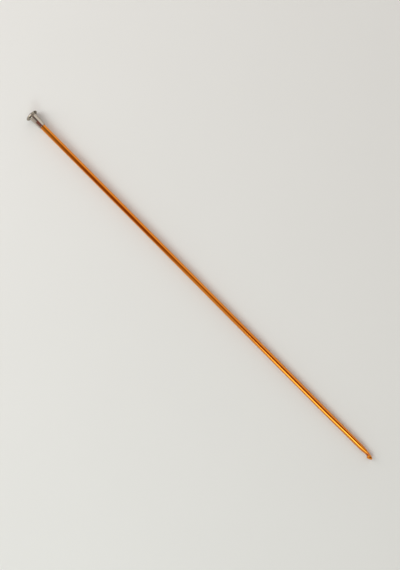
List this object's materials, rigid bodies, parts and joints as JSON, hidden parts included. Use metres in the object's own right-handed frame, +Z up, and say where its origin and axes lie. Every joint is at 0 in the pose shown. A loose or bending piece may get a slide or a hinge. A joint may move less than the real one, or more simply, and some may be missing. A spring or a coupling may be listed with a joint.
{
  "type": "tunisian crochet hook",
  "caption": "Long straight crochet hook of orange anodised aluminium, lying on its side, with a tapered hook head at one end and a domed metal stopper crimped on the other.",
  "frame": {"origin": "centre of the bounding box's underside: halfway along the tool, straight below its axis, at the lowest line of the stopper's rim", "axes": "+X runs along the tool from the stopper to the hook's nose, the mouth of the hook faces half-way between -Y and +Z, and +Z is up from the surface that the tool lies on"},
  "size_m": [0.3556, 0.0098, 0.0098],
  "materials": {
    "anodised_rod": "bright orange anodised, smooth, with a faint drawing grain along the rod",
    "nickel_plate": "polished nickel plate, lightly handled"
  },
  "bodies": {
    "root": {"hook_shaft": "anodised_rod", "hook_head": "anodised_rod", "stopper_sleeve": "nickel_plate", "stopper_cap": "nickel_plate"}
  },
  "joints": []
}
